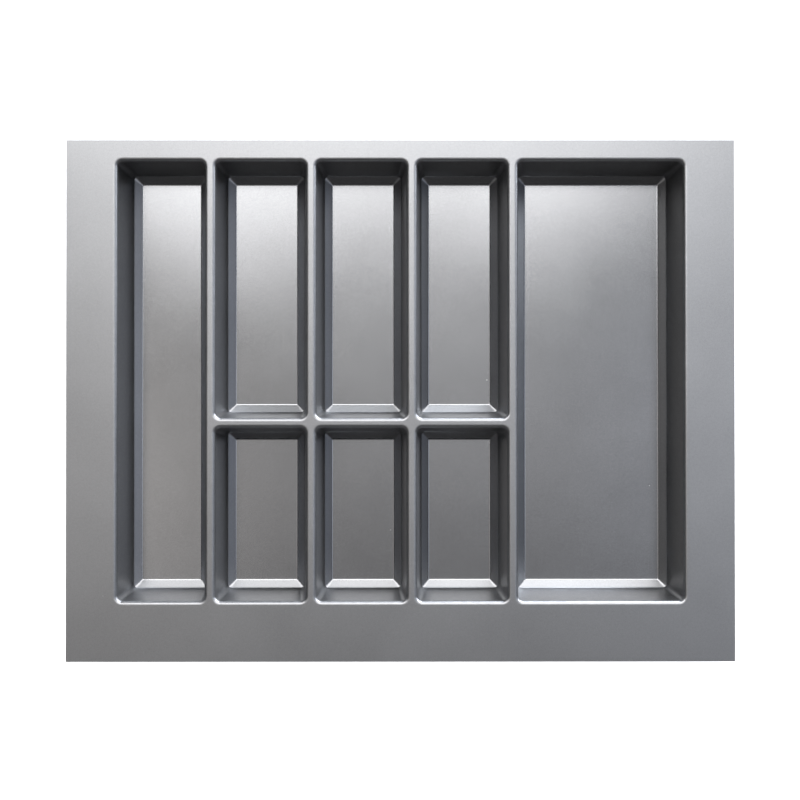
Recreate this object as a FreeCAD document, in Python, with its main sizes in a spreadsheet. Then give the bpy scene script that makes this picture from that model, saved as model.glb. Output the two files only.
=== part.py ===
import FreeCAD, Part
import math
import os

import Sketcher

# A drawer tray formed from one plastic sheet: a flat deck with eight sunken bays.
# The deck and each bay are separate solids that meet at a seam just outside the bay's rolled rim.
# Millimetres, +Z up, +X to the right, +Y to the rear, origin under the middle of the tray at its floor.

# Driving sizes. Bay widths and lengths are taken at the mouth, where wall and deck would meet unrounded.
SIZES = [
    ("tray_height", 50.0),
    ("sheet", 2.0),
    ("left_margin", 47.6),
    ("right_margin", 47.9),
    ("rear_margin", 19.7),
    ("front_margin", 56.7),
    ("narrow_bay_width", 82.6),
    ("cutlery_bay_width", 85.2),
    ("wide_bay_width", 156.3),
    ("rear_bay_length", 242.2),
    ("front_bay_length", 163.2),
    ("divider_land", 2.7),
    ("cross_divider_land", 2.2),
    ("lip_land", 0.35),
    ("bend_radius", 1.6),
    ("wall_draft", 6.0),
    ("wall_corner_radius", 5.0),
    ("chamfer_width", 7.9),
    ("chamfer_angle", 30.0),
]

# Sizes that follow from the driving ones, as formulas.
# The rim rolls over a radius of one sheet more than the bend beneath it.
# The lip is as wide as that roll's tangent length, and a small flat land.
# All outside faces of a bay lie one sheet thickness from the inside faces.
DERIVED = [
    ("roll_radius", "sizes.bend_radius + sizes.sheet"),
    ("roll_tangent", "roll_radius * tan((90 - sizes.wall_draft) / 2)"),
    ("lip_width", "roll_tangent + sizes.lip_land"),
    ("divider", "sizes.divider_land + 2 * lip_width"),
    ("cross_divider", "sizes.cross_divider_land + 2 * lip_width"),
    ("full_bay_length", "sizes.rear_bay_length + cross_divider + sizes.front_bay_length"),
    ("column_pitch", "sizes.cutlery_bay_width + divider"),
    ("three_bays_width", "2 * column_pitch + sizes.cutlery_bay_width"),
    ("bays_width", "sizes.narrow_bay_width + three_bays_width + sizes.wide_bay_width + 2 * divider"),
    ("tray_width", "sizes.left_margin + bays_width + sizes.right_margin"),
    ("tray_depth", "sizes.rear_margin + full_bay_length + sizes.front_margin"),
    ("bays_left", "sizes.left_margin - tray_width / 2"),
    ("bays_rear", "tray_depth / 2 - sizes.rear_margin"),
    ("bays_front", "sizes.front_margin - tray_depth / 2"),
    ("first_column_x", "bays_left + sizes.narrow_bay_width + divider + sizes.cutlery_bay_width / 2"),
    ("narrow_bay_x", "bays_left + sizes.narrow_bay_width / 2"),
    ("wide_bay_x", "tray_width / 2 - sizes.right_margin - sizes.wide_bay_width / 2"),
    ("full_bay_y", "(bays_rear + bays_front) / 2"),
    ("rear_bay_y", "bays_rear - sizes.rear_bay_length / 2"),
    ("front_bay_y", "bays_front + sizes.front_bay_length / 2"),
    ("seam_corner_radius", "sizes.wall_corner_radius + lip_width"),
    ("inside_depth", "sizes.tray_height - sizes.sheet"),
    ("chamfer_height", "sizes.chamfer_width * tan(sizes.chamfer_angle)"),
    ("inside_knee_inset", "(inside_depth - chamfer_height) * tan(sizes.wall_draft)"),
    ("inside_foot_inset", "inside_knee_inset + sizes.chamfer_width"),
    ("outside_mouth_step", "sizes.sheet * (1 / cos(sizes.wall_draft) - tan(sizes.wall_draft))"),
    ("outside_foot_step", "outside_mouth_step - sizes.sheet * tan(sizes.chamfer_angle / 2)"),
    ("outside_foot_inset", "inside_foot_inset + outside_foot_step"),
    ("outside_corner_radius", "sizes.wall_corner_radius + sizes.sheet"),
    ("chamfer_reach", "2 * sizes.chamfer_width"),
    ("chamfer_rise", "2 * chamfer_height"),
]

# The four forms of bay: mouth width, mouth length and centre y.
FORMS = {
    "narrow": ("sizes.narrow_bay_width", "layout.full_bay_length", "layout.full_bay_y"),
    "rear": ("sizes.cutlery_bay_width", "sizes.rear_bay_length", "layout.rear_bay_y"),
    "front": ("sizes.cutlery_bay_width", "sizes.front_bay_length", "layout.front_bay_y"),
    "wide": ("sizes.wide_bay_width", "layout.full_bay_length", "layout.full_bay_y"),
}

# The eight bays: label, form and centre x. The rear and front bays stand in three columns.
BAYS = [("narrow_bay", "narrow", "layout.narrow_bay_x"), ("wide_bay", "wide", "layout.wide_bay_x")]
for number, column in enumerate(["left", "middle", "right"]):
    column_x = f"layout.first_column_x + {number} * layout.column_pitch"
    BAYS += [(f"{form}_{column}_bay", form, column_x) for form in ("rear", "front")]

# The corners of a rectangle about the origin, from the front left one anticlockwise.
CORNERS = [(-1, -1), (1, -1), (1, 1), (-1, 1)]

# How near two points, or a volume to none, count as the same.
NEAR = 1e-4

doc = FreeCAD.newDocument("cutlery_tray")


def add_sheet(name, rows):
    """A spreadsheet with one aliased cell for each named value."""
    sheet = doc.addObject("Spreadsheet::Sheet", name)
    for line, (alias, content) in enumerate(rows, start=1):
        sheet.set(f"A{line}", alias)
        sheet.set(f"B{line}", str(content))
        sheet.setAlias(f"B{line}", alias)
    doc.recompute()


def add_sketch(body, name, role, height=None):
    """A sketch on one of the body's own planes, raised to a height if one is given."""
    sketch = body.newObject("Sketcher::SketchObject", name)
    origin_plane = next(plane for plane in body.Origin.OriginFeatures if plane.Role == role)
    sketch.AttachmentSupport = [(origin_plane, "")]
    sketch.MapMode = "FlatFace"
    if height:
        sketch.setExpression(".AttachmentOffset.Base.z", height)
    return sketch


def bind(sketch, kind, ends, formula):
    """A dimension that takes its value from a formula."""
    number = sketch.addConstraint(Sketcher.Constraint(kind, *ends, sketch.evalExpression(formula)))
    sketch.setExpression(f"Constraints[{number}]", formula)


def add_lines(sketch, points):
    """A closed run of straight lines through the points. Gives the number of the first line."""
    first = sketch.GeometryCount
    for start, end in zip(points, points[1:] + points[:1]):
        sketch.addGeometry(Part.LineSegment(start, end), False)
    for line in range(len(points)):
        following = (line + 1) % len(points)
        sketch.addConstraint(Sketcher.Constraint("Coincident", first + line, 2, first + following, 1))
    return first


def add_rectangle(sketch, width, length):
    """A sharp rectangle about the sketch's origin, from its front line on."""
    half_width = sketch.evalExpression(width) / 2
    half_length = sketch.evalExpression(length) / 2
    add_lines(sketch, [FreeCAD.Vector(x * half_width, y * half_length, 0) for x, y in CORNERS])
    for line in range(len(CORNERS)):
        sketch.addConstraint(Sketcher.Constraint("Vertical" if line % 2 else "Horizontal", line))
    sketch.addConstraint(Sketcher.Constraint("Symmetric", 0, 1, 2, 1, -1, 1))
    bind(sketch, "DistanceX", (0, 1, 0, 2), width)
    bind(sketch, "DistanceY", (1, 1, 1, 2), length)


def add_seam_outline(sketch, width, length, centre_x="0", centre_y="0"):
    """A bay's lip outline: a line and the round corner before it by turns, from the front line on."""
    radius = sketch.evalExpression("layout.seam_corner_radius")
    reach_x = sketch.evalExpression(f"{width} / 2 + layout.lip_width") - radius
    reach_y = sketch.evalExpression(f"{length} / 2 + layout.lip_width") - radius
    middle = FreeCAD.Vector(sketch.evalExpression(centre_x), sketch.evalExpression(centre_y), 0)
    pivots = [middle + FreeCAD.Vector(x * reach_x, y * reach_y, 0) for x, y in CORNERS]
    upright = FreeCAD.Vector(0, 0, 1)
    for side, pivot in enumerate(pivots):
        angle = math.pi / 2 * (side - 1)
        out = FreeCAD.Vector(math.cos(angle), math.sin(angle), 0) * radius
        sketch.addGeometry(Part.LineSegment(pivot + out, pivots[(side + 1) % len(pivots)] + out), False)
        corner = Part.Circle(pivot, upright, radius)
        sketch.addGeometry(Part.ArcOfCircle(corner, angle - math.pi / 2, angle), False)
    for side in range(len(pivots)):
        line = 2 * side
        arc = line + 1
        following_arc = (line + 3) % (2 * len(pivots))
        sketch.addConstraint(Sketcher.Constraint("Tangent", arc, 2, line, 1))
        sketch.addConstraint(Sketcher.Constraint("Tangent", line, 2, following_arc, 1))
        sketch.addConstraint(Sketcher.Constraint("Vertical" if side % 2 else "Horizontal", line))
        if side:
            sketch.addConstraint(Sketcher.Constraint("Equal", 1, arc))
    bind(sketch, "Radius", (1,), "layout.seam_corner_radius")
    bind(sketch, "DistanceX", (6, 1, 2, 1), f"{width} + 2 * layout.lip_width")
    bind(sketch, "DistanceY", (0, 1, 4, 1), f"{length} + 2 * layout.lip_width")
    bind(sketch, "DistanceX", (-1, 1, 2, 1), f"{centre_x} + {width} / 2 + layout.lip_width")
    bind(sketch, "DistanceY", (-1, 1, 4, 1), f"{centre_y} + {length} / 2 + layout.lip_width")


def add_foot_triangles(sketch, foot_width, foot_height):
    """Two triangles, right and left, that lie outside a chamfer rising from a foot's edges."""
    half_foot = sketch.evalExpression(f"({foot_width}) / 2")
    low = sketch.evalExpression(foot_height)
    reach = sketch.evalExpression("layout.chamfer_reach")
    rise = sketch.evalExpression("layout.chamfer_rise")
    for side in (1, -1):
        foot = FreeCAD.Vector(side * half_foot, low, 0)
        outer = foot + FreeCAD.Vector(side * reach, 0, 0)
        upper = outer + FreeCAD.Vector(0, rise, 0)
        base = add_lines(sketch, [foot, outer, upper])
        sketch.addConstraint(Sketcher.Constraint("Horizontal", base))
        sketch.addConstraint(Sketcher.Constraint("Vertical", base + 1))
        across = (base, 1, base, 2) if side > 0 else (base, 2, base, 1)
        from_middle = (-1, 1, base, 1) if side > 0 else (base, 1, -1, 1)
        bind(sketch, "DistanceX", across, "layout.chamfer_reach")
        bind(sketch, "DistanceY", (base + 1, 1, base + 1, 2), "layout.chamfer_rise")
        bind(sketch, "DistanceX", from_middle, f"({foot_width}) / 2")
        bind(sketch, "DistanceY", (-1, 1, base, 1), foot_height)


def add_pad(body, name, sketch, length, draft=None):
    """A pad downward from its sketch, narrowing by the draft angle if one is given."""
    pad = body.newObject("PartDesign::Pad", name)
    pad.Profile = sketch
    pad.Reversed = True
    pad.setExpression("Length", length)
    if draft:
        pad.setExpression("TaperAngle", f"-{draft}")
    return pad


def add_cut_through(body, name, sketch):
    """A pocket right through the body, both ways from its sketch, which must take something away."""
    doc.recompute()
    volume_before = body.Shape.Volume
    pocket = body.newObject("PartDesign::Pocket", name)
    pocket.Profile = sketch
    pocket.Type = "ThroughAll"
    pocket.SideType = "Symmetric"
    doc.recompute()
    if not pocket.Shape.Volume < volume_before - NEAR:
        raise RuntimeError(f"{body.Name}.{name} cuts nothing")


def add_fillet(body, name, base, edges, radius):
    """A fillet on the edges of a feature, given by their numbers."""
    fillet = body.newObject("PartDesign::Fillet", name)
    fillet.Base = (base, [f"Edge{number}" for number in edges])
    fillet.setExpression("Radius", radius)
    return fillet


def slanted_edges(shape):
    """The numbers of the edges that run from one height to another."""
    return [number for number, edge in enumerate(shape.Edges, start=1) if edge.BoundBox.ZLength > NEAR]


def top_edge_centres(shape):
    """The middles of the edges round a shape's top face."""
    top = max(shape.Faces, key=lambda face: face.CenterOfMass.z)
    return [edge.CenterOfMass for edge in top.Edges]


def edges_at(shape, centres):
    """The numbers of a shape's edges whose middles are among the given points."""
    return [
        number
        for number, edge in enumerate(shape.Edges, start=1)
        if any(edge.CenterOfMass.distanceToPoint(centre) < NEAR for centre in centres)
    ]


def add_bay_form(name, width, length, mouth_height, foot_inset, foot_height, corner_radius):
    """A solid of the form of a bay: drafted walls with round corners, and a foot with flat chamfers."""
    body = doc.addObject("PartDesign::Body", name)
    mouth = add_sketch(body, f"{name}_mouth", "XY_Plane", mouth_height)
    add_rectangle(mouth, width, length)
    walls = add_pad(body, f"{name}_walls", mouth, f"{mouth_height} - {foot_height}", "sizes.wall_draft")
    doc.recompute()
    add_fillet(body, f"{name}_corners", walls, slanted_edges(walls.Shape), corner_radius)
    for place, role, across in (("side", "XZ_Plane", width), ("end", "YZ_Plane", length)):
        chamfers = add_sketch(body, f"{name}_{place}_chamfers", role)
        add_foot_triangles(chamfers, f"{across} - 2 * {foot_inset}", foot_height)
        add_cut_through(body, f"{name}_{place}_cut", chamfers)
    return body


def add_pan(label, width, length):
    """A bay about the origin: a pan of even thickness with a lip round its rolled rim."""
    hollow = add_bay_form(
        f"{label}_hollow",
        width,
        length,
        "sizes.tray_height",
        "layout.inside_foot_inset",
        "sizes.sheet",
        "sizes.wall_corner_radius",
    )
    pan = add_bay_form(
        label,
        f"({width} + 2 * layout.outside_mouth_step)",
        f"({length} + 2 * layout.outside_mouth_step)",
        "layout.inside_depth",
        "layout.outside_foot_inset",
        "0",
        "layout.outside_corner_radius",
    )
    rim = top_edge_centres(hollow.Shape)
    bend = top_edge_centres(pan.Shape)
    seam = add_sketch(pan, f"{label}_seam", "XY_Plane", "sizes.tray_height")
    add_seam_outline(seam, width, length)
    add_pad(pan, f"{label}_lip", seam, "sizes.sheet")
    hollowed = pan.newObject("PartDesign::Boolean", f"{label}_hollowed")
    hollowed.Type = "Cut"
    hollowed.setObjects([hollow])
    doc.recompute()
    rolled = add_fillet(pan, f"{label}_roll", hollowed, edges_at(hollowed.Shape, rim), "layout.roll_radius")
    doc.recompute()
    add_fillet(pan, f"{label}_bend", rolled, edges_at(rolled.Shape, bend), "sizes.bend_radius")
    return pan


def add_copy(label, pan):
    """A clone of a pan about the origin, which follows every change of its form."""
    copy = doc.addObject("PartDesign::Body", label)
    clone = doc.addObject("PartDesign::FeatureBase", f"{label}_clone")
    copy.Group = [clone]
    copy.Tip = clone
    clone.BaseFeature = pan.Tip
    return copy


def add_bays():
    """All the bays in their places: the first of each form is modelled, and the others are clones of it."""
    first_of_form = {}
    bays = []
    for label, form, centre_x in BAYS:
        width, length, centre_y = FORMS[form]
        if form in first_of_form:
            bay = add_copy(label, first_of_form[form])
        else:
            bay = add_pan(label, width, length)
            first_of_form[form] = bay
        bay.setExpression("Placement.Base.x", centre_x)
        bay.setExpression("Placement.Base.y", centre_y)
        bays.append(bay)
    return bays


def add_deck():
    """The flat top sheet, with an opening for each bay's lip."""
    deck = doc.addObject("PartDesign::Body", "deck")
    outline = add_sketch(deck, "deck_outline", "XY_Plane", "sizes.tray_height")
    add_rectangle(outline, "layout.tray_width", "layout.tray_depth")
    add_pad(deck, "deck_sheet", outline, "sizes.sheet")
    for label, form, centre_x in BAYS:
        width, length, centre_y = FORMS[form]
        opening = add_sketch(deck, f"{label}_opening", "XY_Plane", "sizes.tray_height")
        add_seam_outline(opening, width, length, centre_x, centre_y)
        add_cut_through(deck, f"{label}_opening_cut", opening)
    return deck


def check(subparts):
    """Stop before anything is written if an object failed or a sub-part isn't one sound solid."""
    for item in doc.Objects:
        if "Invalid" in item.State or "Error" in item.State:
            raise RuntimeError(f"{item.Name} failed: {item.State}")
    for subpart in subparts:
        shape = subpart.Shape
        if shape.isNull() or not shape.isValid() or len(shape.Solids) != 1:
            raise RuntimeError(f"{subpart.Label} isn't one sound solid")


add_sheet("sizes", SIZES)
add_sheet("layout", [(alias, f"={formula}") for alias, formula in DERIVED])
subparts = [add_deck(), *add_bays()]
doc.recompute()
check(subparts)
os.makedirs("parts", exist_ok=True)
for subpart in subparts:
    subpart.Shape.exportStep(f"parts/{subpart.Label}.step")
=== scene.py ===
"""Cutlery tray for a kitchen drawer: a sheet of silver plastic, formed into a flat deck and eight bays."""

import math
from typing import NamedTuple

import bpy
import bmesh
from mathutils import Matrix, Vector


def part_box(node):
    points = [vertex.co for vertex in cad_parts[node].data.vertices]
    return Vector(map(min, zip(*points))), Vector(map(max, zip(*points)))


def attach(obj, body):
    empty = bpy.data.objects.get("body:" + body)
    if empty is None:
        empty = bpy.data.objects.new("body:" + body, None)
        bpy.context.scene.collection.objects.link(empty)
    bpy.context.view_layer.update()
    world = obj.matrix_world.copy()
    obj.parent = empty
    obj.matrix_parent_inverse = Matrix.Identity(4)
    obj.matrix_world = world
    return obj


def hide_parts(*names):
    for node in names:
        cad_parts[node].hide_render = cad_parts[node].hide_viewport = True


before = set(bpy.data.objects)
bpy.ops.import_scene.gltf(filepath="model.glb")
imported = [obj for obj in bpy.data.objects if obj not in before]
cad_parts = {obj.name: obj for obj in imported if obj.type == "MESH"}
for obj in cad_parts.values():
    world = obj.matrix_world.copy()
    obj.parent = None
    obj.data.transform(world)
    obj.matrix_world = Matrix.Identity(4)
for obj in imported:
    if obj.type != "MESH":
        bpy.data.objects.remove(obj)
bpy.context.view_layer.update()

# Sizes of the formed sheet, in metres and radians
SHEET = 0.002
WALL_DRAFT = math.radians(6.0)
WALL_CORNER = 0.005
CHAMFER_WIDTH = 0.0079
CHAMFER_ANGLE = math.radians(30)
RIM_ROLL = 0.0036
LIP_LAND = 0.00035
KNEE_BEND = 0.002
FOOT_BEND = 0.0025
FOOT_MITRE = 0.0014
FLOOR_BORDER = 0.004
TRIMMED_EDGE = 0.0003

# Steps of the curved forms
BAY_CORNERS = 4
CORNER_STEPS = 12
BEND_STEPS = 8
TRIM_STEPS = 2
TRIM_ROUNDNESS = 0.5
HALF_RING = 0.5
SHARP_FROM = math.radians(40)

BAYS = (
    "narrow_bay",
    "rear_left_bay",
    "rear_middle_bay",
    "rear_right_bay",
    "front_left_bay",
    "front_middle_bay",
    "front_right_bay",
    "wide_bay",
)
DECK = "deck"
BODY = "root"
QUARTER_TURN = math.pi / 2

# The silver finish: its colour, its share of metal, and the gloss of each part of the sheet
SILVER = (0.39, 0.39, 0.395)
METAL_FLAKE = 0.99
SATIN_ROUGHNESS = 0.36
FLOOR_ROUGHNESS = 0.2
CHAMFER_ROUGHNESS = 0.31
WALL_ROUGHNESS = 0.45
FOOT_BLEND = 0.001
KNEE_BLEND = 0.0015

# Scales of the finish's detail, in features per metre
CLOUD_SCALE = 14
MOTTLE_SCALE = 420
FLAKE_SCALE = 2600
GRAIN_SCALE = 1500
HAIRLINE_SCALE = 1300
HAIRLINE_LENGTH = 9
WEAR_SCALE = 160
SPECK_SCALE = 40

# Noise is counted from its middle, and these ranges of it become hairlines and wear
NOISE_MIDDLE = 0.5
FINE_DETAIL = 2
SOFT_DETAIL = 3
HAIRLINE_RANGE = (0.14, 0.3)
WEAR_RANGE = (-0.05, 0.2)
SPECKED_SHARE = 0.5

# How much lighter or darker each detail makes the silver; the walls are darkened by painted shade, standing
# in for how dim they look when seen at a slant
PAINTED_WALL_SHADE = 0.26
CLOUD_TONE = 0.18
MOTTLE_TONE = 0.1
FLAKE_TONE = 0.22
HAIRLINE_TONE = 0.05
WEAR_TONE = 0.06

# How much each detail takes from the gloss
CLOUD_HAZE = 0.03
FLAKE_HAZE = 0.04
HAIRLINE_HAZE = 0.04
SPECK_HAZE = 0.4

# Relief and marks, in metres where they are lengths
GRAIN_STRENGTH = 0.16
GRAIN_DEPTH = 0.0001
HAIRLINE_RELIEF = 0.3
FLOOR_MARK_DEPTH = 0.0006
SPECK_RADIUS = 0.0005
SPECK_COLOUR = (0.75, 0.75, 0.74)


class Window(NamedTuple):
    """A soft window of the studio, in degrees: its turn is from the right, its rise from the horizon."""

    turn: float
    half_width: float
    rise: float
    half_height: float
    side_softness: float
    end_softness: float
    colour: tuple


class Glow(NamedTuple):
    """A soft round light of the studio, in the same degrees."""

    turn: float
    rise: float
    spread: float
    colour: tuple


# Lights of the studio
WINDOWS = {
    "rear_window": Window(95, 49, 58, 20, 10, 5, (3.4, 3.42, 3.46)),
    "low_window": Window(53, 31, 0, 24, 14, 12, (10, 10.7, 11.8)),
    "front_fill": Window(-90, 75, 4, 16, 30, 10, (0.2, 0.2, 0.21)),
    "front_canopy": Window(-90, 75, 54, 10, 30, 5, (0.12, 0.12, 0.124)),
}
GLOWS = {
    "rear_overhead": Glow(90, 86, 5, (0.52, 0.52, 0.53)),
    "right_overhead": Glow(0, 83, 5, (0.26, 0.26, 0.265)),
    "front_overhead": Glow(270, 80, 11, (0.25, 0.25, 0.255)),
    "right_glow": Glow(0, 62, 9.5, (1.02, 1.07, 1.18)),
    "left_glow": Glow(192, 69.5, 7.5, (1.0, 0.96, 0.93)),
    "right_wall": Glow(2, 38, 14, (0.235, 0.27, 0.345)),
    "left_wall": Glow(178, 48, 6, (0.22, 0.22, 0.23)),
}
COVE_FADE = (0.02, 0.1)
COVE_BRIGHTNESS = 0.35

# The studio's floor, which lies just below the tray so that no two faces share a place
STAGE_LEVEL = -0.0002
STAGE_REACH = 60
STAGE_COLOUR = (0.9, 0.9, 0.9, 1)
STAGE_ROUGHNESS = 0.9
STAGE_GLOW = 0.9

# The camera: lens and sensor in millimetres, place in metres, turns in degrees
CAMERA_LENS = 44.79
CAMERA_SENSOR = 36
CAMERA_PLACE = (-0.0023, -0.0051, 0.98664)
CAMERA_TURNS = (0.339, -0.107, -0.021)


class Value:
    """An output of a node. Arithmetic on it adds Math nodes, and its node's outputs are read by name."""

    def __init__(self, nodes, socket):
        self.nodes = nodes
        self.socket = socket

    def __getitem__(self, name):
        return Value(self.nodes, self.socket.node.outputs[name])

    def math(self, operation, *terms):
        """The result of one Math node, whose terms are values or plain numbers."""
        return self.nodes.add("ShaderNodeMath", {"operation": operation}, dict(enumerate(terms)))

    def __add__(self, other):
        return self.math("ADD", self, other)

    def __radd__(self, other):
        return self.math("ADD", other, self)

    def __sub__(self, other):
        return self.math("SUBTRACT", self, other)

    def __rsub__(self, other):
        return self.math("SUBTRACT", other, self)

    def __mul__(self, other):
        return self.math("MULTIPLY", self, other)

    def __rmul__(self, other):
        return self.math("MULTIPLY", other, self)

    def __truediv__(self, other):
        return self.math("DIVIDE", self, other)

    def __lt__(self, other):
        return self.math("LESS_THAN", self, other)

    def __gt__(self, other):
        return self.math("GREATER_THAN", self, other)

    def __abs__(self):
        return self.math("ABSOLUTE", self)

    def __floor__(self):
        return self.math("FLOOR", self)

    def cos(self):
        return self.math("COSINE", self)

    def sin(self):
        return self.math("SINE", self)

    def tan(self):
        return self.math("TANGENT", self)

    def sign(self):
        return self.math("SIGN", self)

    def exp(self):
        return self.math("EXPONENT", self)

    def least(self, other):
        return self.math("MINIMUM", self, other)

    def most(self, other):
        return self.math("MAXIMUM", self, other)

    def rise(self):
        return self.math("ARCSINE", self)

    def turn_from(self, other):
        return self.math("ARCTAN2", self, other)

    def between(self, low, high):
        """0 below low, 1 above high, and a straight rise from one to the other."""
        steps = {"Value": self, "From Min": low, "From Max": high, "To Min": 0, "To Max": 1}
        return self.nodes.add("ShaderNodeMapRange", {"clamp": True}, steps)

    def eased(self, low, high):
        """0 below low, 1 above high, and a soft rise from one to the other."""
        steps = {"Value": self, "From Min": low, "From Max": high, "To Min": 0, "To Max": 1}
        return self.nodes.add("ShaderNodeMapRange", {"interpolation_type": "SMOOTHSTEP"}, steps)


class Nodes:
    """A node tree that is written as Python expressions."""

    def __init__(self, tree):
        self.tree = tree

    def add(self, kind, settings=None, sockets=None):
        """Adds a node, sets its settings and then its sockets, and returns its first output."""
        node = self.tree.nodes.new(kind)
        for name, setting in (settings or {}).items():
            if name == "items":
                while len(node.index_switch_items) < setting:
                    node.index_switch_items.new()
            else:
                setattr(node, name, setting)
        for name, given in (sockets or {}).items():
            self.feed(node.inputs[name], given)
        return Value(self, next((output for output in node.outputs if output.enabled), None))

    def feed(self, socket, given):
        """Links a value, or several, to a socket, or sets it to a plain number, colour or material."""
        if isinstance(given, (Value, list)):
            for value in given if isinstance(given, list) else [given]:
                self.tree.links.new(value.socket, socket)
        else:
            socket.default_value = given

    def vector(self, x, y, z):
        return self.add("ShaderNodeCombineXYZ", sockets={"X": x, "Y": y, "Z": z})

    def parts(self, vector):
        return self.add("ShaderNodeSeparateXYZ", sockets={"Vector": vector})

    def vector_math(self, operation, first, second):
        return self.add("ShaderNodeVectorMath", {"operation": operation}, {0: first, 1: second})

    def choose(self, data_type, items):
        """The item whose number is the point's index."""
        index = self.add("GeometryNodeInputIndex")
        settings = {"data_type": data_type, "items": len(items)}
        sockets = {number + 1: item for number, item in enumerate(items)}
        return self.add("GeometryNodeIndexSwitch", settings, {"Index": index, **sockets})


def form_tree(name, inputs):
    """A new Geometry Nodes tree with one output and these inputs, each a name and a kind of socket."""
    tree = bpy.data.node_groups.new(name, "GeometryNodeTree")
    for label, kind in inputs:
        tree.interface.new_socket(label, in_out="INPUT", socket_type="NodeSocket" + kind)
    tree.interface.new_socket("Geometry", in_out="OUTPUT", socket_type="NodeSocketGeometry")
    nodes = Nodes(tree)
    return nodes, nodes.add("NodeGroupInput")


def end_tree(nodes, geometry, material):
    """Realizes the tree's instances, gives the result its material and hands it out."""
    solid = nodes.add("GeometryNodeRealizeInstances", sockets={"Geometry": geometry})
    dressed = nodes.add("GeometryNodeSetMaterial", sockets={"Geometry": solid, "Material": material})
    nodes.add("NodeGroupOutput", sockets={"Geometry": dressed})
    return nodes.tree


def bay_profile(nodes, size):
    """The inside of a bay's wall as a curve from lip to floor: x is in from the mouth, z the height."""
    height, sheet, chamfer = size["Height"], size["Sheet"], size["Chamfer"]
    knee_height = sheet + chamfer * size["Chamfer angle"].tan()
    knee = (height - knee_height) * size["Draft"].tan()
    foot = knee + chamfer
    corners = [
        nodes.vector(size["Lip"] * -1, 0, height),
        nodes.vector(0, 0, height),
        nodes.vector(knee, 0, knee_height),
        nodes.vector(foot, 0, sheet),
        nodes.vector(foot + size["Border"], 0, sheet),
    ]
    bends = [0, size["Roll"], size["Knee bend"], size["Foot bend"], 0]
    place = nodes.choose("VECTOR", corners)
    points = nodes.add("GeometryNodePoints", sockets={"Count": len(corners), "Position": place})
    line = nodes.add("GeometryNodePointsToCurves", sockets={"Points": points})
    radius = nodes.choose("FLOAT", bends)
    bent = {"Curve": line, "Count": BEND_STEPS, "Radius": radius, "Limit Radius": True}
    return nodes.add("GeometryNodeFilletCurve", {"mode": "POLY"}, bent)


def bay_tree():
    """The rule of every bay: one wall profile, led round its round-cornered mouth and back underneath.

    The foot's chamfers meet in mitres, because they cut the round corners of the walls away."""
    walls = ("Width", "Length", "Height", "Sheet", "Draft", "Chamfer", "Chamfer angle", "Corner")
    edges = ("Roll", "Lip", "Knee bend", "Foot bend", "Mitre", "Border")
    floats = [(label, "Float") for label in walls + edges]
    nodes, size = form_tree("bay_pan", floats + [("Centre", "Vector"), ("Material", "Material")])

    profile = bay_profile(nodes, size)
    domain = {"component": "CURVE"}
    count = nodes.add("GeometryNodeAttributeDomainSize", domain, {"Geometry": profile})["Point Count"]
    corner_points = CORNER_STEPS + 1
    around = BAY_CORNERS * corner_points
    rings = {"Vertices": around, "Side Segments": count * 2 - 1}
    pan = nodes.add("GeometryNodeMeshCylinder", {"fill_type": "NGON"}, rings)["Mesh"]

    index = nodes.add("GeometryNodeInputIndex")
    ring = math.floor(index / around)
    spot = index - ring * around
    corner = math.floor(spot / corner_points)
    middle = corner * QUARTER_TURN + QUARTER_TURN / 2
    angle = corner * QUARTER_TURN + (spot - corner * corner_points) * (QUARTER_TURN / CORNER_STEPS)

    inside = ring < count - HALF_RING
    under = 1 - inside
    step = inside * (count - 1 - ring) + under * (ring - count)

    def along_profile(field):
        settings = {"data_type": "FLOAT_VECTOR", "domain": "POINT"}
        sockets = {"Geometry": profile, "Value": nodes.add(field), "Index": step}
        return nodes.parts(nodes.add("GeometryNodeSampleIndex", settings, sockets))

    place = along_profile("GeometryNodeInputPosition")
    tangent = along_profile("GeometryNodeInputTangent")
    thick = under * size["Sheet"]
    inset = place["X"] + thick * tangent["Z"]
    height = place["Z"] - thick * tangent["X"]
    skin = thick / size["Draft"].cos()
    wall = (size["Height"] - height) * size["Draft"].tan()
    radius = size["Corner"] + skin + (wall - skin - inset).most(0)
    mitre = size["Mitre"] + thick

    def reach(side, direction):
        half = side / 2
        rounded = half - wall - size["Corner"] + radius * abs(direction(angle))
        mitred = half - inset - mitre + mitre * abs(direction(angle))
        return rounded.least(mitred) * direction(middle).sign()

    led = nodes.vector(reach(size["Width"], Value.cos), reach(size["Length"], Value.sin), height)
    placed = nodes.vector_math("ADD", led, size["Centre"])
    formed = nodes.add("GeometryNodeSetPosition", sockets={"Geometry": pan, "Position": placed})
    rolled = inside * (height > size["Height"] - size["Roll"])
    marked = nodes.add(
        "GeometryNodeStoreNamedAttribute",
        {"data_type": "FLOAT", "domain": "POINT"},
        {"Geometry": formed, "Name": "rim", "Value": rolled},
    )
    return end_tree(nodes, soften(nodes, marked), size["Material"])


def soften(nodes, geometry):
    """Smooth shading, with a hard line only at the sharp folds."""
    smooth = nodes.add(
        "GeometryNodeSetShadeSmooth",
        {"domain": "FACE"},
        {"Geometry": geometry, "Shade Smooth": True},
    )
    sharp = nodes.add("GeometryNodeInputMeshEdgeAngle")["Unsigned Angle"] > SHARP_FROM
    return nodes.add(
        "GeometryNodeSetShadeSmooth",
        {"domain": "EDGE"},
        {"Geometry": smooth, "Selection": sharp, "Shade Smooth": False},
    )


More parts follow.
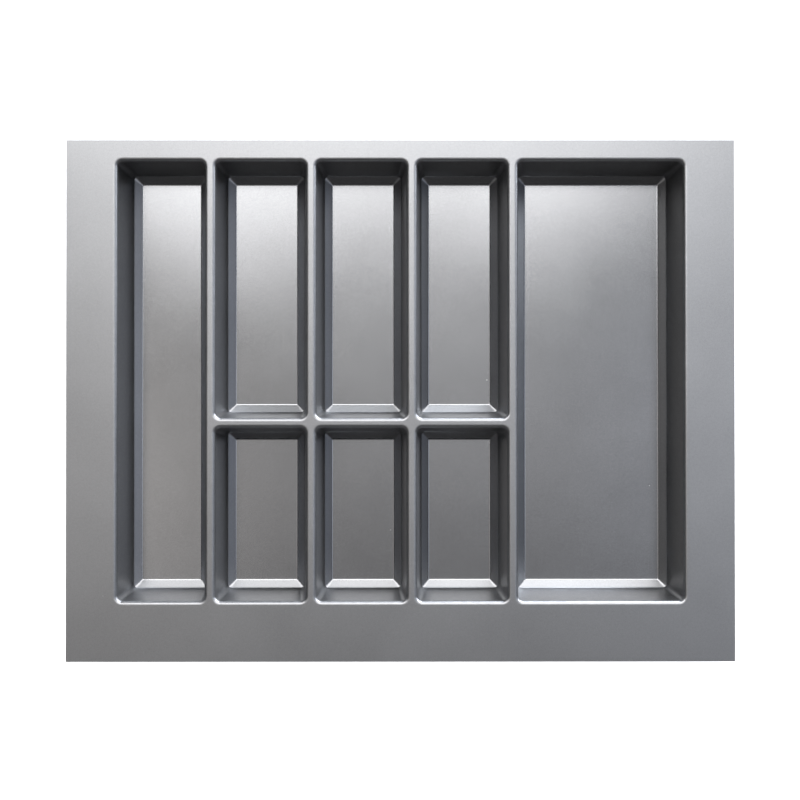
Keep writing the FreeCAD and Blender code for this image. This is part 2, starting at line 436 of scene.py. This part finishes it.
def deck_tree():
    """The rule of the deck: a flat sheet with a round-cornered opening at each point of a given mesh."""
    floats = [(label, "Float") for label in ("Width", "Depth", "Height", "Sheet", "Opening corner")]
    nodes, size = form_tree("deck_sheet", [("Geometry", "Geometry")] + floats + [("Material", "Material")])

    def rectangle(width, depth):
        sides = {"Width": width, "Height": depth}
        return nodes.add("GeometryNodeCurvePrimitiveQuadrilateral", {"mode": "RECTANGLE"}, sides)

    spans = nodes.add("GeometryNodeInputNamedAttribute", {"data_type": "FLOAT_VECTOR"}, {"Name": "opening"})
    mouths = nodes.add(
        "GeometryNodeInstanceOnPoints",
        sockets={"Points": size["Geometry"], "Instance": rectangle(1, 1), "Scale": spans},
    )
    openings = nodes.add(
        "GeometryNodeFilletCurve",
        {"mode": "POLY"},
        {
            "Curve": nodes.add("GeometryNodeRealizeInstances", sockets={"Geometry": mouths}),
            "Count": CORNER_STEPS,
            "Radius": size["Opening corner"],
        },
    )
    outline = rectangle(size["Width"], size["Depth"])
    cut = nodes.add("GeometryNodeJoinGeometry", sockets={"Geometry": [outline, openings]})
    face = nodes.add("GeometryNodeFillCurve", {"mode": "TRIANGLES"}, {"Curve": cut})
    raised = nodes.add(
        "GeometryNodeTransform",
        sockets={"Geometry": face, "Translation": nodes.vector(0, 0, size["Height"] - size["Sheet"])},
    )
    top = nodes.add(
        "GeometryNodeExtrudeMesh",
        {"mode": "FACES"},
        {
            "Mesh": raised,
            "Offset": nodes.vector(0, 0, 1),
            "Offset Scale": size["Sheet"],
            "Individual": False,
        },
    )
    underside = nodes.add("GeometryNodeFlipFaces", sockets={"Mesh": raised})
    both = nodes.add("GeometryNodeJoinGeometry", sockets={"Geometry": [top, underside]})
    closed = nodes.add("GeometryNodeMergeByDistance", sockets={"Geometry": both})
    return end_tree(nodes, closed, size["Material"])


def grown(name, seed, tree, inputs, weighted):
    """The plain mesh object that a tree makes of a seed mesh, with its modifiers worked out and gone."""
    piece = bpy.data.objects.new(name, seed)
    bpy.context.scene.collection.objects.link(piece)
    rule = piece.modifiers.new(tree.name, "NODES")
    rule.node_group = tree
    for socket in tree.interface.items_tree:
        if socket.in_out == "INPUT" and socket.name in inputs:
            rule[socket.identifier] = inputs[socket.name]
    if weighted:
        normals = piece.modifiers.new("level_normals", "WEIGHTED_NORMAL")
        normals.mode = "FACE_AREA"
        normals.keep_sharp = True
    bpy.context.view_layer.update()
    graph = bpy.context.evaluated_depsgraph_get()
    piece.data = bpy.data.meshes.new_from_object(piece.evaluated_get(graph), depsgraph=graph)
    piece.data.name = name
    piece.modifiers.clear()
    return piece


def break_outer_edge(piece, half_width, half_depth):
    """Takes the sharpness off the trimmed edge all round the deck."""
    form = bmesh.new()
    form.from_mesh(piece.data)

    def at_trim(vertex):
        return half_width - abs(vertex.co.x) < TRIMMED_EDGE or half_depth - abs(vertex.co.y) < TRIMMED_EDGE

    trimmed = [edge for edge in form.edges if all(at_trim(end) for end in edge.verts)]
    bmesh.ops.bevel(
        form,
        geom=[edge for edge in trimmed if edge.calc_face_angle() > SHARP_FROM],
        offset=TRIMMED_EDGE,
        segments=TRIM_STEPS,
        profile=TRIM_ROUNDNESS,
        affect="EDGES",
    )
    form.to_mesh(piece.data)
    form.free()


def dress(piece, node):
    """Puts a finished piece in its node's place on the tray."""
    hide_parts(node)
    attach(piece, BODY)


def silver_plastic():
    """Satin silver plastic full of metal flake.

    It has a fine grain, faint clouds, hairlines where cutlery slides on floors, worn rims and specks, and
    its walls are painted darker as shade."""
    material = bpy.data.materials.new("satin_silver_plastic")
    material.use_nodes = True
    nodes = Nodes(material.node_tree)
    shader = material.node_tree.nodes["Principled BSDF"]
    coords = nodes.add("ShaderNodeTexCoord")["Object"]
    place = nodes.parts(coords)

    def noise(where, scale, detail):
        sockets = {"Vector": where, "Scale": scale, "Detail": detail}
        return nodes.add("ShaderNodeTexNoise", sockets=sockets) - NOISE_MIDDLE

    def cells(scale):
        return nodes.add("ShaderNodeTexVoronoi", sockets={"Vector": coords, "Scale": scale})

    clouds = noise(coords, CLOUD_SCALE, SOFT_DETAIL)
    mottle = noise(coords, MOTTLE_SCALE, FINE_DETAIL)
    flakes = cells(FLAKE_SCALE)["Color"] - NOISE_MIDDLE
    along_bay = nodes.vector(place["X"] * HAIRLINE_SCALE, place["Y"] * HAIRLINE_LENGTH, place["Z"])
    on_floor = 1 - place["Z"].between(SHEET, SHEET + FLOOR_MARK_DEPTH)
    hairlines = noise(along_bay, 1, FINE_DETAIL).between(*HAIRLINE_RANGE) * on_floor
    rim = nodes.add("ShaderNodeAttribute", {"attribute_name": "rim"})["Fac"]
    wear = rim * noise(coords, WEAR_SCALE, SOFT_DETAIL).between(*WEAR_RANGE)
    speck_cells = cells(SPECK_SCALE)
    speck_size = SPECK_RADIUS * SPECK_SCALE
    speck_spots = 1 - speck_cells["Distance"].between(speck_size / 2, speck_size)
    specks = speck_spots * (speck_cells["Color"] > SPECKED_SHARE)

    knee_height = SHEET + CHAMFER_WIDTH * math.tan(CHAMFER_ANGLE)
    rim_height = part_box(DECK)[1].z - RIM_ROLL
    off_floor = place["Z"].eased(SHEET, SHEET + FOOT_BLEND)
    above_knee = place["Z"].eased(knee_height - KNEE_BLEND, knee_height + KNEE_BLEND)
    on_rim = place["Z"].eased(rim_height, rim_height + RIM_ROLL)
    # painted shade: this mask marks the walls between knee and rim, whose silver is painted darker than the
    # deck and floors
    painted_shade_on_walls = above_knee * (1 - on_rim)

    tone_and_painted_shade = (
        1
        - PAINTED_WALL_SHADE * painted_shade_on_walls
        + CLOUD_TONE * clouds
        + MOTTLE_TONE * mottle
        + FLAKE_TONE * flakes
        + HAIRLINE_TONE * hairlines
        + WEAR_TONE * wear
    )
    silver = nodes.vector_math("MULTIPLY", SILVER, nodes.vector(tone_and_painted_shade, tone_and_painted_shade, tone_and_painted_shade))
    spotted = nodes.add(
        "ShaderNodeMix",
        {"data_type": "VECTOR"},
        {"Factor": specks, "A": silver, "B": SPECK_COLOUR},
    )
    nodes.feed(shader.inputs["Base Color"], spotted)
    shader.inputs["Metallic"].default_value = METAL_FLAKE

    satin = (
        FLOOR_ROUGHNESS
        + (CHAMFER_ROUGHNESS - FLOOR_ROUGHNESS) * off_floor
        + (WALL_ROUGHNESS - CHAMFER_ROUGHNESS) * above_knee
        + (SATIN_ROUGHNESS - WALL_ROUGHNESS) * on_rim
    )
    haze = CLOUD_HAZE * clouds + FLAKE_HAZE * flakes + HAIRLINE_HAZE * hairlines + SPECK_HAZE * specks
    nodes.feed(shader.inputs["Roughness"], satin + haze)

    grain = noise(coords, GRAIN_SCALE, FINE_DETAIL) + HAIRLINE_RELIEF * hairlines
    bump = nodes.add(
        "ShaderNodeBump",
        sockets={"Strength": GRAIN_STRENGTH, "Distance": GRAIN_DEPTH, "Height": grain},
    )
    nodes.feed(shader.inputs["Normal"], bump)
    return material


def add_tray():
    """The eight bays and the deck between them."""
    plastic = silver_plastic()
    lip = RIM_ROLL * math.tan((QUARTER_TURN - WALL_DRAFT) / 2) + LIP_LAND
    deck_low, deck_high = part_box(DECK)
    height = deck_high.z
    pan_rule = bay_tree()
    seats = bmesh.new()
    span = seats.verts.layers.float_vector.new("opening")
    for bay in BAYS:
        low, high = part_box(bay)
        middle = Vector(((low.x + high.x) / 2, (low.y + high.y) / 2, 0))
        width = high.x - low.x
        length = high.y - low.y
        seats.verts.new(middle)[span] = Vector((width, length, 1))
        pan = grown(bay + "_pan", bpy.data.meshes.new(bay), pan_rule, {
            "Width": width - 2 * lip,
            "Length": length - 2 * lip,
            "Height": height,
            "Sheet": SHEET,
            "Draft": WALL_DRAFT,
            "Chamfer": CHAMFER_WIDTH,
            "Chamfer angle": CHAMFER_ANGLE,
            "Corner": WALL_CORNER,
            "Roll": RIM_ROLL,
            "Lip": lip,
            "Knee bend": KNEE_BEND,
            "Foot bend": FOOT_BEND,
            "Mitre": FOOT_MITRE,
            "Border": FLOOR_BORDER,
            "Centre": middle,
            "Material": plastic,
        }, weighted=True)
        dress(pan, bay)
    openings = bpy.data.meshes.new("openings")
    seats.to_mesh(openings)
    seats.free()
    sheet = grown("deck_sheet", openings, deck_tree(), {
        "Width": deck_high.x - deck_low.x,
        "Depth": deck_high.y - deck_low.y,
        "Height": height,
        "Sheet": SHEET,
        "Opening corner": WALL_CORNER + lip,
        "Material": plastic,
    }, weighted=False)
    break_outer_edge(sheet, deck_high.x, deck_high.y)
    dress(sheet, DECK)


def add_floor():
    """The pale floor that the tray lies on."""
    mesh = bpy.data.meshes.new("studio_floor")
    signs = ((-1, -1), (1, -1), (1, 1), (-1, 1))
    corners = [(x * STAGE_REACH, y * STAGE_REACH, STAGE_LEVEL) for x, y in signs]
    mesh.from_pydata(corners, [], [(0, 1, 2, 3)])
    floor = bpy.data.objects.new("studio_floor", mesh)
    bpy.context.scene.collection.objects.link(floor)
    material = bpy.data.materials.new("white_floor")
    material.use_nodes = True
    nodes = Nodes(material.node_tree)
    shader = material.node_tree.nodes["Principled BSDF"]
    shader.inputs["Base Color"].default_value = STAGE_COLOUR
    shader.inputs["Roughness"].default_value = STAGE_ROUGHNESS
    path = nodes.add("ShaderNodeLightPath")
    seen = path["Is Camera Ray"].most(path["Is Glossy Ray"]).most(path["Is Transmission Ray"])
    glow = nodes.add("ShaderNodeCombineColor", sockets={0: seen, 1: seen, 2: seen})
    nodes.feed(shader.inputs["Emission Color"], glow)
    shader.inputs["Emission Strength"].default_value = STAGE_GLOW
    mesh.materials.append(material)


def add_studio():
    """A dim room with a pale cove round its floor and soft lights, the strongest behind the tray."""
    world = bpy.data.worlds.new("soft_studio")
    bpy.context.scene.world = world
    world.use_nodes = True
    nodes = Nodes(world.node_tree)
    direction = nodes.add("ShaderNodeTexCoord")["Generated"]
    heading = nodes.parts(direction)
    turn = heading["Y"].turn_from(heading["X"])
    rise = heading["Z"].rise()
    cove = (1 - heading["Z"].between(*COVE_FADE)) * COVE_BRIGHTNESS
    room = nodes.vector(cove, cove, cove)

    def within(distance, half_size, softness):
        return 1 - distance.eased(math.radians(half_size - softness), math.radians(half_size + softness))

    def lit(name, share, colour):
        settings = {"operation": "MULTIPLY_ADD", "label": name}
        return nodes.add("ShaderNodeVectorMath", settings, {0: share, 1: colour, 2: room})

    for name, window in WINDOWS.items():
        across = abs(turn - math.radians(window.turn))
        above = abs(rise - math.radians(window.rise))
        wide = within(across, window.half_width, window.side_softness)
        tall = within(above, window.half_height, window.end_softness)
        room = lit(name, wide * tall, window.colour)
    for name, glow in GLOWS.items():
        level = math.cos(math.radians(glow.rise))
        aim = (
            level * math.cos(math.radians(glow.turn)),
            level * math.sin(math.radians(glow.turn)),
            math.sin(math.radians(glow.rise)),
        )
        facing = nodes.vector_math("DOT_PRODUCT", direction, aim)
        room = lit(name, ((facing - 1) / math.radians(glow.spread) ** 2).exp(), glow.colour)
    nodes.feed(world.node_tree.nodes["Background"].inputs["Color"], room)


def add_camera():
    """The camera above the tray, as it stood for the photograph."""
    camera = bpy.data.cameras.new("overhead_camera")
    camera.lens = CAMERA_LENS
    camera.sensor_width = CAMERA_SENSOR
    stand = bpy.data.objects.new("overhead_camera", camera)
    stand.location = CAMERA_PLACE
    stand.rotation_euler = tuple(math.radians(turn) for turn in CAMERA_TURNS)
    bpy.context.scene.collection.objects.link(stand)
    bpy.context.scene.camera = stand


bpy.context.scene.view_settings.view_transform = "Standard"
add_tray()
add_floor()
add_studio()
add_camera()

bpy.context.view_layer.update()
